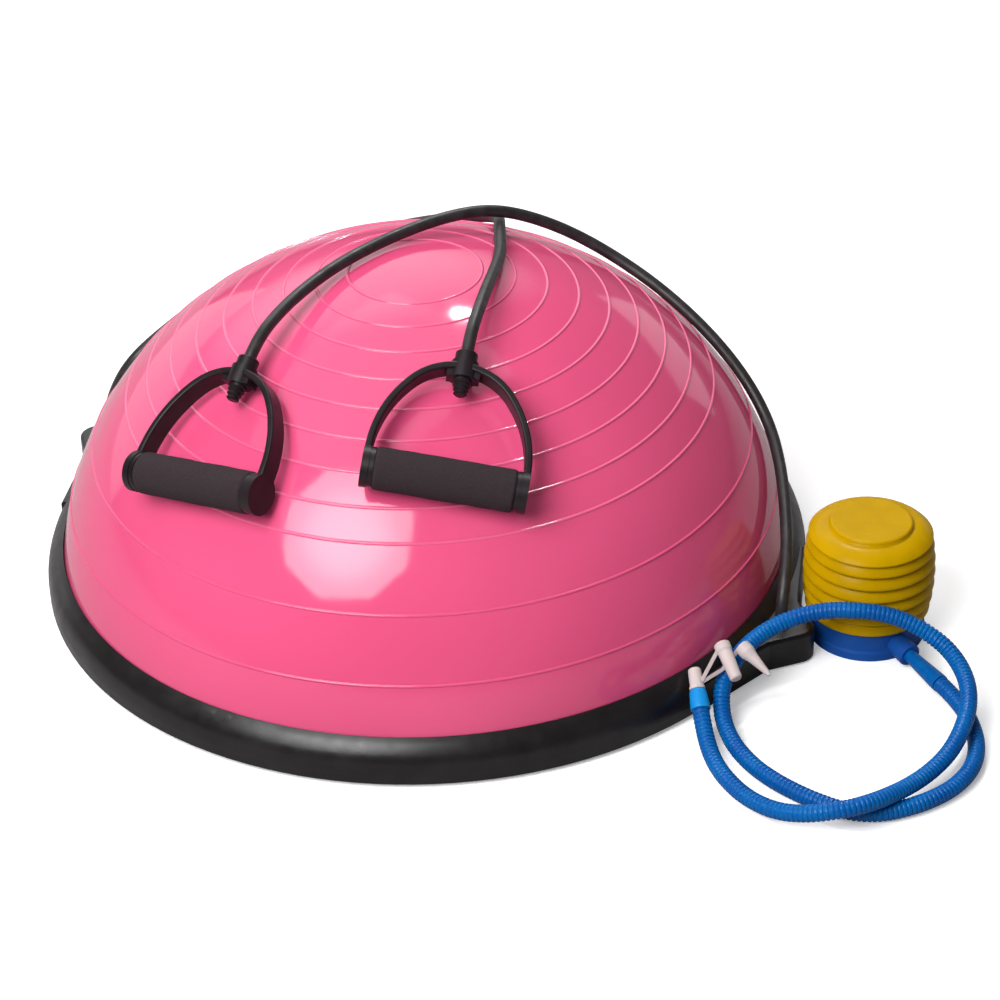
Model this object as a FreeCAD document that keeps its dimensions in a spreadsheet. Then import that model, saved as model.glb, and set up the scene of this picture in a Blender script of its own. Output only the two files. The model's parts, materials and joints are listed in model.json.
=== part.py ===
"""Inflatable balance dome on a round platform, with two resistance handles and a foot pump.

The origin is the centre of the platform on the floor, +Z is up, and lengths are millimetres.
"""
import FreeCAD, Part
import math
import os
import Sketcher

Vector = FreeCAD.Vector
UP = Vector(0, 0, 1)

document = FreeCAD.newDocument("balance_dome_trainer")
sheet = document.addObject("Spreadsheet::Sheet", "dims")

DRIVING_SIZES = [
    # platform and rim
    ("base_radius", 290),
    ("rim_round", 25),
    ("rim_side_height", 12),
    ("rim_top_radius", 276.6),
    ("rim_top_height", 34.15),
    ("rim_clearance", 2),
    ("plate_radius", 285.8),
    ("plate_bottom", 2.5),
    ("plate_top", 8),
    ("flange_top", 11.4),
    ("stiffener_height", 6),
    ("stiffener_width", 3),
    ("foot_height", 2.5),
    ("foot_radius", 9),
    ("foot_circle", 250),
    ("centre_foot_radius", 20),
    ("screw_circle", 282.5),
    ("screw_radius", 1.7),
    ("screw_head_radius", 3),
    # inflated dome
    ("dome_height", 250),
    ("crown_round", 296),
    ("crown_angle", 43.7),
    ("shoulder_round", 242),
    ("shoulder_angle", 80.1),
    ("dome_wall", 4),
    ("bead_inner_radius", 263),
    ("rib_pitch", 24.5),
    ("rib_round", 1.2),
    ("rib_stand", 0.8),
    # air valve of the dome
    ("valve_offset", 95),
    ("valve_cup_radius", 14),
    ("valve_cup_top", 20),
    ("valve_wall", 3),
    ("grommet_radius", 7),
    ("plug_radius", 4),
    # anchors of the resistance tubes
    ("lug_bearing", -30.5),
    ("lug_half_angle", 19.5),
    ("lug_shoulder_x", 295),
    ("lug_shoulder_y", 36),
    ("lug_flank_x", 298),
    ("lug_flank_y", 28.8),
    ("lug_nose_x", 315.4),
    ("lug_nose_y", 9.9),
    ("lug_nose_round", 14),
    ("lug_bottom", 2),
    ("lug_top", 26),
    ("lug_edge_round", 3),
    ("anchor_circle", 294),
    ("anchor_bore", 5),
    ("anchor_recess_radius", 7),
    ("anchor_recess_top", 14),
    ("stopper_radius", 6.9),
    ("stopper_height", 10),
    ("tube_radius", 4.5),
    ("tube_rise", 35),
    # handles
    ("grip_lift", 16.3),
    ("foam_radius", 15),
    ("core_radius", 11),
    ("core_bore", 9),
    ("grip_half", 48.5),
    ("cap_face", 51.95),
    ("cap_radius", 14),
    ("cap_inset", 12),
    ("leg_outer", 57),
    ("leg_thickness", 5),
    ("leg_disc_radius", 14.5),
    ("axle_radius", 4),
    ("axle_length", 10),
    ("arch_width", 16),
    ("arch_side_round", 90),
    ("arch_side_start", 12),
    ("arch_corner_angle", 40),
    ("arch_edge_round", 1.5),
    ("boss_radius", 9.6),
    ("boss_start", 75.5),
    ("boss_end", 89),
    ("wing_half", 11.5),
    ("wing_thickness", 5),
    ("wing_width", 12),
    ("boss_bore", 6),
    ("ferrule_radius", 5.95),
    ("ferrule_head_radius", 7.8),
    ("ferrule_end", 97),
    ("tube_lead", 16),
    ("lift_limit", 45),
    ("stopper_tip", 64),
    # foot pump
    ("pump_x", 320),
    ("pump_y", -126),
    ("pump_radius", 43),
    ("pump_base_height", 22),
    ("pump_wall", 3),
    ("pump_floor", 3),
    ("bellows_radius", 48),
    ("bellows_depth", 3.4),
    ("bellows_taper", 3),
    ("bellows_pitch", 10.3),
    ("bellows_count", 6),
    ("bellows_wall", 1.5),
    ("pump_cap_radius", 45),
    ("pump_cap_round", 18),
    ("pump_cap_edge", 7.5),
    ("pump_cap_disc_radius", 30),
    ("pump_cap_disc_height", 3.5),
    ("spring_radius", 26),
    ("spring_wire", 1.4),
    ("spring_turns", 6),
    ("flap_radius", 8),
    ("flap_thickness", 1),
    ("inlet_radius", 5),
    ("outlet_bearing", -66),
    ("outlet_height", 11),
    ("outlet_radius", 8.5),
    ("outlet_bore", 7),
    ("outlet_start", 37),
    ("outlet_end", 58),
    ("cuff_end", 96),
    # hose and nozzles
    ("hose_radius", 6.1),
    ("hose_lead", 22),
    ("hose_end_cuff_length", 15),
    ("nozzle_length", 16),
    ("strap_width", 2.4),
    ("strap_thickness", 1.4),
]

SCREW_COUNT = 16
FOOT_COUNT = 8
STIFFENER_COUNT = 12
STIFFENER_RINGS = (258, 190, 124)
STOPPER_RIDGES = 3
THROUGH_EVERYTHING = 20
CROWN_RIB_COUNT = 9
SHOULDER_RIBS = (12, 14)
SIDES = ("left", "right")


class Size:
    """A length that carries its value and the sheet formula it comes from."""

    def __init__(self, value, formula):
        self.value = value
        self.formula = formula

    def joined(self, other, sign, value):
        return Size(value, f"({self.formula} {sign} {as_size(other).formula})")

    def __add__(self, other):
        return self.joined(other, "+", self.value + as_size(other).value)

    def __sub__(self, other):
        return self.joined(other, "-", self.value - as_size(other).value)

    def __mul__(self, other):
        return self.joined(other, "*", self.value * as_size(other).value)

    def __truediv__(self, other):
        return self.joined(other, "/", self.value / as_size(other).value)

    def __neg__(self):
        return Size(-self.value, f"(-1 * {self.formula})")


def as_size(length):
    if isinstance(length, Size):
        return length
    return Size(length, f"({length})")


def sine(angle):
    """Sine of an angle in degrees."""
    return Size(math.sin(math.radians(angle.value)), f"sin({angle.formula} * 1 deg)")


def cosine(angle):
    """Cosine of an angle in degrees."""
    return Size(math.cos(math.radians(angle.value)), f"cos({angle.formula} * 1 deg)")


SIZE = {}
for row, (alias, value) in enumerate(DRIVING_SIZES, 1):
    sheet.set(f"A{row}", alias)
    sheet.set(f"B{row}", str(value))
    sheet.setAlias(f"B{row}", alias)
    SIZE[alias] = Size(value, f"dims.{alias}")
document.recompute()


def value_of(alias):
    return SIZE[alias].value


# ---------------------------------------------------------------- sketches and features


def origin_plane(body, role):
    return next(item for item in body.Origin.OriginFeatures if item.Role == role)


def new_body(label, place=None):
    body = document.addObject("PartDesign::Body", label)
    body.Label = label
    body.AllowCompound = True
    body.Placement = place or FreeCAD.Placement()
    return body


def hold_point(sketch, geometry, end, x, y):
    """Fix one end of an edge at a place given by two sizes."""
    for length, kind, axis in ((x, "DistanceX", -2), (y, "DistanceY", -1)):
        if length.value == 0:
            sketch.addConstraint(Sketcher.Constraint("PointOnObject", geometry, end, axis))
        else:
            index = sketch.addConstraint(
                Sketcher.Constraint(kind, -1, 1, geometry, end, length.value))
            sketch.setExpression(f"Constraints[{index}]", length.formula)


def arc_between(start, end, radius):
    """The short arc between two points; a positive radius turns left on the way."""
    chord = end - start
    middle = (start + end) * 0.5
    left = Vector(-chord.y, chord.x, 0)
    left.normalize()
    reach = math.sqrt(max(radius ** 2 - (chord.Length / 2) ** 2, 0))
    centre = middle + left * math.copysign(reach, radius)
    first, last = (start, end) if radius > 0 else (end, start)
    angles = [math.atan2(point.y - centre.y, point.x - centre.x) for point in (first, last)]
    return Part.ArcOfCircle(Part.Circle(centre, UP, abs(radius)), *angles)


def add_sketch(body, name, plane, loops=(), circles=(), offset=None):
    """A sketch of closed loops of (x, y) or (x, y, arc radius) corners, and circles (x, y, r)."""
    sketch = body.newObject("Sketcher::SketchObject", name)
    sketch.AttachmentSupport = (origin_plane(body, plane), [""])
    sketch.MapMode = "FlatFace"
    if offset:
        sketch.AttachmentOffset = offset
    for loop in loops:
        corners = [tuple(as_size(number) for number in corner) for corner in loop]
        edges = []
        for corner, following in zip(corners, corners[1:] + corners[:1]):
            start = Vector(corner[0].value, corner[1].value, 0)
            end = Vector(following[0].value, following[1].value, 0)
            if len(corner) == 2:
                edges.append((sketch.addGeometry(Part.LineSegment(start, end)), 1, 2))
                continue
            radius = corner[2]
            edge = sketch.addGeometry(arc_between(start, end, radius.value))
            edges.append((edge, 1, 2) if radius.value > 0 else (edge, 2, 1))
            shown = radius if radius.value > 0 else -radius
            index = sketch.addConstraint(Sketcher.Constraint("Radius", edge, shown.value))
            sketch.setExpression(f"Constraints[{index}]", shown.formula)
        for position, corner in enumerate(corners):
            edge, begins, _ = edges[position]
            previous, _, ends = edges[position - 1]
            sketch.addConstraint(Sketcher.Constraint("Coincident", previous, ends, edge, begins))
            hold_point(sketch, edge, begins, corner[0], corner[1])
    for circle in circles:
        x, y, radius = (as_size(number) for number in circle)
        edge = sketch.addGeometry(Part.Circle(Vector(x.value, y.value, 0), UP, radius.value))
        index = sketch.addConstraint(Sketcher.Constraint("Radius", edge, radius.value))
        sketch.setExpression(f"Constraints[{index}]", radius.formula)
        hold_point(sketch, edge, 3, x, y)
    return sketch


def revolve(body, outline, offset=None):
    """Turn an outline of (radius, height) corners about the body's Z axis."""
    sketch = add_sketch(body, body.Label + "_outline", "XZ_Plane", [outline], offset=offset)
    turned = body.newObject("PartDesign::Revolution", body.Label + "_turned")
    turned.Profile = sketch
    turned.ReferenceAxis = (sketch, ["V_Axis"])
    turned.Angle = 360
    return turned


def add_turned(label, outline, place=None):
    body = new_body(label, place)
    revolve(body, outline)
    return body


def raised(z):
    return FreeCAD.Placement(Vector(0, 0, z), FreeCAD.Rotation())


def pad(body, name, plane, length, loops=(), circles=(), offset=None, midplane=False):
    """Add material by pushing a sketch out of its plane."""
    feature = body.newObject("PartDesign::Pad", name)
    feature.Profile = add_sketch(body, name + "_outline", plane, loops, circles, offset)
    feature.setExpression("Length", as_size(length).formula)
    if midplane:
        feature.Midplane = True
    return feature


def pocket(body, name, plane, length, loops=(), circles=(), offset=None, reverse=False):
    """Remove material along the sketch plane's normal, or against it when reverse is set."""
    document.recompute()
    before = body.Shape.Volume
    feature = body.newObject("PartDesign::Pocket", name)
    feature.Profile = add_sketch(body, name + "_outline", plane, loops, circles, offset)
    feature.setExpression("Length", as_size(length).formula)
    feature.Reversed = not reverse
    document.recompute()
    if body.Shape.Volume > before - 0.01:
        raise RuntimeError(f"{name} removes nothing")
    return feature


def repeat_around(body, name, features, count):
    """Repeat features evenly about the body's Z axis."""
    document.recompute()
    pattern = body.newObject("PartDesign::PolarPattern", name)
    pattern.Originals = features
    pattern.Axis = (origin_plane(body, "Z_Axis"), [""])
    pattern.Angle = 360
    pattern.Occurrences = count
    body.Tip = pattern
    return pattern


def rectangle(x_low, y_low, x_high, y_high):
    return [(x_low, y_low), (x_high, y_low), (x_high, y_high), (x_low, y_high)]


def disc_outline(radius, bottom, top):
    """The half section of a plain disc."""
    return [(0, bottom), (radius, bottom), (radius, top), (0, top)]


def ring_outline(inner, outer, bottom, top):
    return rectangle(inner, bottom, outer, top)


def add_shape(label, shape):
    """A part whose shape is worked out with Part's own functions."""
    part = document.addObject("Part::Feature", label)
    part.Label = label
    part.Shape = shape
    return part


# ---------------------------------------------------------------- platform and rim


def add_base_platform():
    """A plate with stiffeners inside the air chamber and a cup for the valve."""
    body = new_body("base_platform")
    top = SIZE["plate_top"]
    tall = top + SIZE["stiffener_height"]
    width = SIZE["stiffener_width"]
    outline = [(0, SIZE["plate_bottom"]), (SIZE["plate_radius"], SIZE["plate_bottom"]),
               (SIZE["plate_radius"], top)]
    for ring_radius in (as_size(radius) for radius in STIFFENER_RINGS):
        outline += [(ring_radius, top), (ring_radius, tall)]
        outline += [(ring_radius - width, tall), (ring_radius - width, top)]
    outline += [(0, top)]
    revolve(body, outline)
    rib = pad(body, "platform_rib", "XY_Plane", SIZE["stiffener_height"] - 0.5,
              [rectangle(STIFFENER_RINGS[-1] - 1, -width / 2, STIFFENER_RINGS[0] - 2, width / 2)],
              offset=raised(value_of("plate_top")))
    repeat_around(body, "platform_ribs", [rib], STIFFENER_COUNT)
    cup_radius = SIZE["valve_cup_radius"] + SIZE["valve_wall"]
    cup_height = SIZE["valve_cup_top"] + SIZE["valve_wall"] - SIZE["plate_bottom"]
    from_below = raised(value_of("plate_bottom"))
    valve = (0, SIZE["valve_offset"])
    cup = pad(body, "valve_cup", "XY_Plane", cup_height, circles=[valve + (cup_radius,)],
              offset=from_below)
    body.Tip = cup
    pocket(body, "valve_recess", "XY_Plane", SIZE["valve_cup_top"] - SIZE["plate_bottom"],
           circles=[valve + (SIZE["valve_cup_radius"],)], offset=from_below)
    pocket(body, "valve_hole", "XY_Plane", cup_height,
           circles=[valve + (SIZE["grommet_radius"],)], offset=from_below)
    hole = pocket(body, "screw_hole", "XY_Plane", THROUGH_EVERYTHING,
                  circles=[(SIZE["screw_circle"], 0, SIZE["screw_radius"] + 0.1)])
    repeat_around(body, "screw_holes", [hole], SCREW_COUNT)
    recess = pocket(body, "screw_recess", "XY_Plane", 2.2,
                    circles=[(SIZE["screw_circle"], 0, SIZE["screw_head_radius"] + 0.2)],
                    offset=from_below)
    repeat_around(body, "screw_recesses", [recess], SCREW_COUNT)


def add_rim_ring():
    """The outer ring that clamps the dome, with two opposite lugs for the resistance tubes."""
    body = new_body("rim_ring")
    turned_by = FreeCAD.Placement(Vector(0, 0, value_of("lug_bottom")),
                                  FreeCAD.Rotation(UP, value_of("lug_bearing")))
    base_radius = SIZE["base_radius"]
    inner_radius = base_radius - 7
    half_angle = SIZE["lug_half_angle"]
    across = cosine(half_angle)
    along = sine(half_angle)
    lugs = []
    for side in (1, -1):
        lugs.append([
            (base_radius * across * side, -base_radius * along * side),
            (SIZE["lug_shoulder_x"] * side, -SIZE["lug_shoulder_y"] * side),
            (SIZE["lug_flank_x"] * side, -SIZE["lug_flank_y"] * side),
            (SIZE["lug_nose_x"] * side, -SIZE["lug_nose_y"] * side, SIZE["lug_nose_round"]),
            (SIZE["lug_nose_x"] * side, SIZE["lug_nose_y"] * side),
            (SIZE["lug_flank_x"] * side, SIZE["lug_flank_y"] * side),
            (SIZE["lug_shoulder_x"] * side, SIZE["lug_shoulder_y"] * side),
            (base_radius * across * side, base_radius * along * side),
            (inner_radius * across * side, inner_radius * along * side, -inner_radius),
            (inner_radius * across * side, -inner_radius * along * side),
        ])
    lug = pad(body, "tube_lugs", "XY_Plane", SIZE["lug_top"] - SIZE["lug_bottom"], lugs,
              offset=turned_by)
    document.recompute()
    outside = value_of("base_radius") + 1
    top_edges = []
    for number, edge in enumerate(lug.Shape.Edges, 1):
        middle = edge.valueAt((edge.FirstParameter + edge.LastParameter) / 2)
        on_top = abs(middle.z - value_of("lug_top")) < 0.01
        if on_top and math.hypot(middle.x, middle.y) > outside:
            top_edges.append(f"Edge{number}")
    softened = body.newObject("PartDesign::Fillet", "lug_edges")
    softened.Base = (lug, top_edges)
    softened.setExpression("Radius", SIZE["lug_edge_round"].formula)
    body.Tip = softened
    document.recompute()
    edge_low = SIZE["rim_clearance"]
    revolve(body, [
        (SIZE["rim_top_radius"] + 2.8, SIZE["flange_top"]),
        (base_radius - 4, SIZE["flange_top"]),
        (base_radius - 4, edge_low),
        (base_radius - 2, edge_low),
        (base_radius, edge_low + 2),
        (base_radius, SIZE["rim_side_height"], SIZE["rim_round"]),
        (SIZE["rim_top_radius"], SIZE["rim_top_height"]),
    ])
    pocket(body, "clamp_step", "XY_Plane", SIZE["flange_top"], circles=[(0, 0, base_radius - 4)])
    anchor = SIZE["anchor_circle"]
    spots = [(anchor, 0), (-anchor, 0)]
    pocket(body, "anchor_recesses", "XY_Plane",
           SIZE["anchor_recess_top"] - SIZE["lug_bottom"],
           circles=[spot + (SIZE["anchor_recess_radius"],) for spot in spots], offset=turned_by)
    pocket(body, "anchor_bores", "XY_Plane", 60,
           circles=[spot + (SIZE["anchor_bore"],) for spot in spots], offset=turned_by)
    hole = pocket(body, "rim_screw_hole", "XY_Plane", THROUGH_EVERYTHING,
                  circles=[(SIZE["screw_circle"], 0, SIZE["screw_radius"] + 0.02)])
    repeat_around(body, "rim_screw_holes", [hole], SCREW_COUNT)


def add_clamp_screws():
    """Screws that pull the platform up against the rim, through the bead of the dome."""
    body = new_body("clamp_screws")
    head_low = SIZE["plate_bottom"] + 0.2
    head_top = SIZE["plate_bottom"] + 2.2
    shank = pad(body, "screw_shank", "XY_Plane", 19.5 - head_top.value,
                circles=[(SIZE["screw_circle"], 0, SIZE["screw_radius"])],
                offset=raised(head_top.value))
    head = pad(body, "screw_head", "XY_Plane", head_top - head_low,
               circles=[(SIZE["screw_circle"], 0, SIZE["screw_head_radius"])],
               offset=raised(head_low.value))
    repeat_around(body, "screws_around", [shank, head], SCREW_COUNT)


def add_feet():
    """Soft pads under the platform, and one in the middle."""
    feet = new_body("rubber_feet")
    foot = pad(feet, "rubber_foot", "XY_Plane", SIZE["foot_height"],
               circles=[(SIZE["foot_circle"], 0, SIZE["foot_radius"])])
    repeat_around(feet, "feet_around", [foot], FOOT_COUNT)
    centre = document.addObject("Part::Cylinder", "centre_foot")
    centre.Label = "centre_foot"
    centre.setExpression("Radius", SIZE["centre_foot_radius"].formula)
    centre.setExpression("Height", SIZE["foot_height"].formula)


# ---------------------------------------------------------------- dome


def dome_point(arc_length, proud=0.0):
    """Radius and height of the dome's outside at a distance from its crown, measured along it."""
    crown_limit = math.radians(value_of("crown_angle")) * value_of("crown_round")
    if arc_length <= crown_limit:
        angle = SIZE["crown_angle"] * (arc_length / crown_limit)
        radius = SIZE["crown_round"] + proud
        return (sine(angle) * radius,
                SIZE["dome_height"] - SIZE["crown_round"] + cosine(angle) * radius)
    further = math.degrees((arc_length - crown_limit) / value_of("shoulder_round"))
    angle = SIZE["crown_angle"] + further
    between = SIZE["crown_round"] - SIZE["shoulder_round"]
    radius = SIZE["shoulder_round"] + proud
    return (sine(SIZE["crown_angle"]) * between + sine(angle) * radius,
            SIZE["dome_height"] - SIZE["crown_round"]
            + cosine(SIZE["crown_angle"]) * between + cosine(angle) * radius)


def dome_corner(angle, inset):
    """A corner of the dome's section, where the crown or the shoulder ends."""
    between = SIZE["crown_round"] - SIZE["shoulder_round"]
    radius = SIZE["shoulder_round"] - inset
    return (sine(SIZE["crown_angle"]) * between + sine(angle) * radius,
            SIZE["dome_height"] - SIZE["crown_round"]
            + cosine(SIZE["crown_angle"]) * between + cosine(angle) * radius)


def add_dome_bladder():
    """The hollow skin, its clamped bead, and the fine raised rings around it."""
    skin = new_body("dome_skin")
    wall = SIZE["dome_wall"]
    height = SIZE["dome_height"]
    shoulder_end = dome_corner(SIZE["shoulder_angle"], 0)
    inner_end = dome_corner(SIZE["shoulder_angle"], wall)
    neck = SIZE["rim_top_radius"] + 2.1
    revolve(skin, [
        (SIZE["bead_inner_radius"], SIZE["plate_top"]),
        (SIZE["plate_radius"] - 0.8, SIZE["plate_top"]),
        (SIZE["plate_radius"] - 0.8, SIZE["flange_top"]),
        (neck, SIZE["flange_top"]),
        shoulder_end + (SIZE["shoulder_round"],),
        dome_corner(SIZE["crown_angle"], 0) + (SIZE["crown_round"],),
        (0, height),
        (0, height - wall, -(SIZE["crown_round"] - wall)),
        dome_corner(SIZE["crown_angle"], wall) + (-(SIZE["shoulder_round"] - wall),),
        inner_end,
        (neck - wall, SIZE["flange_top"] + 3),
        (SIZE["bead_inner_radius"], SIZE["flange_top"]),
    ])
    hole = pocket(skin, "bead_hole", "XY_Plane", THROUGH_EVERYTHING,
                  circles=[(SIZE["screw_circle"], 0, SIZE["screw_radius"] + 0.1)])
    repeat_around(skin, "bead_holes", [hole], SCREW_COUNT)
    rings = [number * value_of("rib_pitch") for number in range(2, CROWN_RIB_COUNT + 2)]
    rings += [number * value_of("rib_pitch") for number in SHOULDER_RIBS]
    parts = [skin]
    for number, arc_length in enumerate(rings, 1):
        sunk = value_of("rib_stand") - value_of("rib_round")
        radius, z = dome_point(arc_length, sunk)
        ring = document.addObject("Part::Torus", f"dome_ring_{number}")
        ring.setExpression("Radius1", radius.formula)
        ring.setExpression("Radius2", SIZE["rib_round"].formula)
        ring.setExpression("Placement.Base.z", z.formula)
        parts.append(ring)
    bladder = document.addObject("Part::MultiFuse", "dome_bladder")
    bladder.Label = "dome_bladder"
    bladder.Shapes = parts


def add_valve():
    """The valve of the dome: a rubber grommet in the platform's cup, and its push-in plug."""
    place = FreeCAD.Placement(Vector(0, value_of("valve_offset"), 0), FreeCAD.Rotation())
    seat = SIZE["valve_cup_top"]
    over = seat + SIZE["valve_wall"]
    bore = SIZE["plug_radius"] + 0.05
    add_turned("valve_grommet", [
        (bore, seat - 2), (SIZE["grommet_radius"] + 3, seat - 2), (SIZE["grommet_radius"] + 3, seat),
        (SIZE["grommet_radius"], seat), (SIZE["grommet_radius"], over),
        (SIZE["grommet_radius"] + 3, over), (SIZE["grommet_radius"] + 3, over + 2),
        (bore, over + 2),
    ], place)
    head = seat - 2
    add_turned("valve_plug", [
        (0, head - 3), (SIZE["plug_radius"] + 3, head - 3), (SIZE["plug_radius"] + 3, head),
        (SIZE["plug_radius"], head), (SIZE["plug_radius"], over + 1),
        (SIZE["plug_radius"] - 1, over + 3), (0, over + 3),
    ], place)


# ---------------------------------------------------------------- cords


def joined_runs(points):
    """Straight runs joined by the widest tangent arcs that their points leave room for."""
    edges = []
    here = points[0]
    radii = []
    for before, corner, after in zip(points, points[1:], points[2:]):
        incoming = corner - before
        outgoing = after - corner
        shorter = min(incoming.Length, outgoing.Length)
        incoming.normalize()
        outgoing.normalize()
        turn = math.acos(max(-1.0, min(1.0, incoming.dot(outgoing))))
        reach = 0.45 * shorter
        radius = reach / math.tan(turn / 2)
        radii.append(radius)
        start = corner - incoming * reach
        end = corner + outgoing * reach
        inward = outgoing - incoming
        inward.normalize()
        middle = corner + inward * (radius / math.cos(turn / 2) - radius)
        edges.append(Part.LineSegment(here, start).toShape())
        edges.append(Part.Arc(start, middle, end).toShape())
        here = end
    edges.append(Part.LineSegment(here, points[-1]).toShape())
    return Part.Wire(edges), radii


def add_cord(label, points, radius, final_cut=None):
    """A round cord along its route, printed with its length and its smallest bends."""
    path, radii = joined_runs(points)
    first_run = points[1] - points[0]
    profile = Part.Wire(Part.Circle(points[0], first_run, radius).toShape())
    solid = path.makePipeShell([profile], True, False)
    expected = math.pi * radius ** 2 * path.Length
    print(f"{label}: length {path.Length:.0f}, volume ratio {solid.Volume / expected:.4f}, "
          f"bends {[round(bend) for bend in radii]}")
    if final_cut:
        solid = solid.cut(final_cut)
    return add_shape(label, solid)


# ---------------------------------------------------------------- handles

# Where each grip lies on the dome: distance from the crown along the skin, compass bearing,
# turn about the skin's normal, and tip of its arch towards the skin.
GRIP_PLACES = {"left": (234.5, -134.8, 12.4, 7.9), "right": (206.2, -86.1, -15.1, 6.5)}


def handle_place(side):
    """The handle's frame: X along the grip, Y from the grip to the tube, Z away from the dome."""
    arc_length, bearing, twist, tip = GRIP_PLACES[side]
    radius, height = dome_point(arc_length)
    outer_radius, outer_height = dome_point(arc_length, value_of("grip_lift"))
    slope = Vector(outer_radius.value - radius.value, 0, outer_height.value - height.value)
    slope.normalize()
    around = FreeCAD.Rotation(UP, bearing)
    normal = around.multVec(slope)
    sideways = around.multVec(Vector(0, 1, 0))
    uphill = normal.cross(sideways)
    lying = FreeCAD.Rotation(sideways, uphill, normal, "ZXY")
    turned = lying.multiply(FreeCAD.Rotation(UP, twist))
    tipped = turned.multiply(FreeCAD.Rotation(Vector(1, 0, 0), -tip))
    middle = around.multVec(Vector(outer_radius.value, 0, outer_height.value))
    return FreeCAD.Placement(middle, tipped)


ALONG_GRIP = FreeCAD.Rotation(Vector(0, 1, 0), 90)
ALONG_TUBE = FreeCAD.Rotation(Vector(1, 0, 0), -90)


def add_handle_frame(side, place):
    """The moulded D frame with its end discs, axle stubs and the boss for the tube."""
    body = new_body(f"handle_{side}_frame", place)
    outer = SIZE["leg_outer"]
    band = SIZE["leg_thickness"]
    inner = outer - band
    start = SIZE["arch_side_start"]
    side_round = SIZE["arch_side_round"]
    angle = SIZE["arch_corner_angle"]
    top_round = side_round - (side_round - outer) / cosine(angle)

    def corner(radius):
        return (outer - side_round + cosine(angle) * radius, start + sine(angle) * radius)

    corner_x, corner_y = corner(side_round)
    inner_x, inner_y = corner(side_round - band)
    pad(body, "arch", "XY_Plane", SIZE["arch_width"], [[
        (outer, 0), (outer, start, side_round), (corner_x, corner_y, top_round),
        (-corner_x, corner_y, side_round), (-outer, start), (-outer, 0), (-inner, 0),
        (-inner, start, -(side_round - band)), (-inner_x, inner_y, -(top_round - band)),
        (inner_x, inner_y, -(side_round - band)), (inner, start), (inner, 0),
    ]], midplane=True)
    document.recompute()
    arch = body.Tip
    half_width = value_of("arch_width") / 2
    rims = []
    for number, edge in enumerate(arch.Shape.Edges, 1):
        middle = edge.valueAt((edge.FirstParameter + edge.LastParameter) / 2)
        if abs(abs(middle.z) - half_width) < 0.01 and middle.y > 1:
            rims.append(f"Edge{number}")
    softened = body.newObject("PartDesign::Fillet", "arch_edges")
    softened.Base = (arch, rims)
    softened.setExpression("Radius", SIZE["arch_edge_round"].formula)
    body.Tip = softened
    document.recompute()
    for name, low in (("near", inner), ("far", -outer)):
        pad(body, f"{name}_disc", "YZ_Plane", band, circles=[(0, 0, SIZE["leg_disc_radius"])],
            offset=raised(low.value))
    reach = SIZE["axle_length"]
    for name, low in (("near", inner - reach), ("far", -inner)):
        pad(body, f"{name}_axle", "YZ_Plane", reach, circles=[(0, 0, SIZE["axle_radius"])],
            offset=raised(low.value))
    boss_length = SIZE["boss_end"] - SIZE["boss_start"]
    pad(body, "tube_boss", "XZ_Plane", boss_length,
        circles=[(0, 0, SIZE["boss_radius"])], offset=raised(-value_of("boss_end")))
    wing_half = SIZE["wing_half"]
    wing_start = SIZE["boss_start"] + 0.5
    wings = pad(body, "boss_wings", "XY_Plane", SIZE["wing_width"],
                [rectangle(-wing_half, wing_start, wing_half, wing_start + SIZE["wing_thickness"])],
                midplane=True)
    body.Tip = wings
    pocket(body, "boss_bore", "XZ_Plane", 40, circles=[(0, 0, SIZE["boss_bore"])],
           offset=raised(-value_of("boss_end") - 1))


def grip_sleeve(label, place, inner, outer, half):
    """A sleeve round the grip's axis, centred between the handle's legs."""
    body = add_turned(label, ring_outline(inner, outer, 0, half * 2))
    shift = place.Rotation.multVec(Vector(-half.value, 0, 0))
    body.Placement = FreeCAD.Placement(place.Base + shift, place.Rotation.multiply(ALONG_GRIP))


def add_grip(side, place):
    """The turning grip: a core tube, its foam sleeve and the two caps that run on the axles."""
    grip_sleeve(f"handle_{side}_core", place, SIZE["core_bore"], SIZE["core_radius"],
                SIZE["grip_half"])
    grip_sleeve(f"handle_{side}_foam", place, SIZE["core_radius"], SIZE["foam_radius"],
                SIZE["grip_half"])
    body = new_body(f"handle_{side}_end_caps", place)
    bore = SIZE["axle_radius"] + 0.05
    spigot = SIZE["core_bore"] - 0.02
    face = SIZE["cap_face"]
    flange = SIZE["grip_half"] + 0.02
    for name, low, length, radius in (
            ("near_flange", flange, face - flange, SIZE["cap_radius"]),
            ("far_flange", -face, face - flange, SIZE["cap_radius"]),
            ("near_spigot", flange - SIZE["cap_inset"], SIZE["cap_inset"], spigot),
            ("far_spigot", -flange, SIZE["cap_inset"], spigot)):
        pad(body, name, "YZ_Plane", length, circles=[(0, 0, radius)], offset=raised(low.value))
    pocket(body, "axle_bores", "YZ_Plane", SIZE["cap_face"] * 2 + 2, circles=[(0, 0, bore)],
           offset=raised(-value_of("cap_face") - 1))


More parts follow.
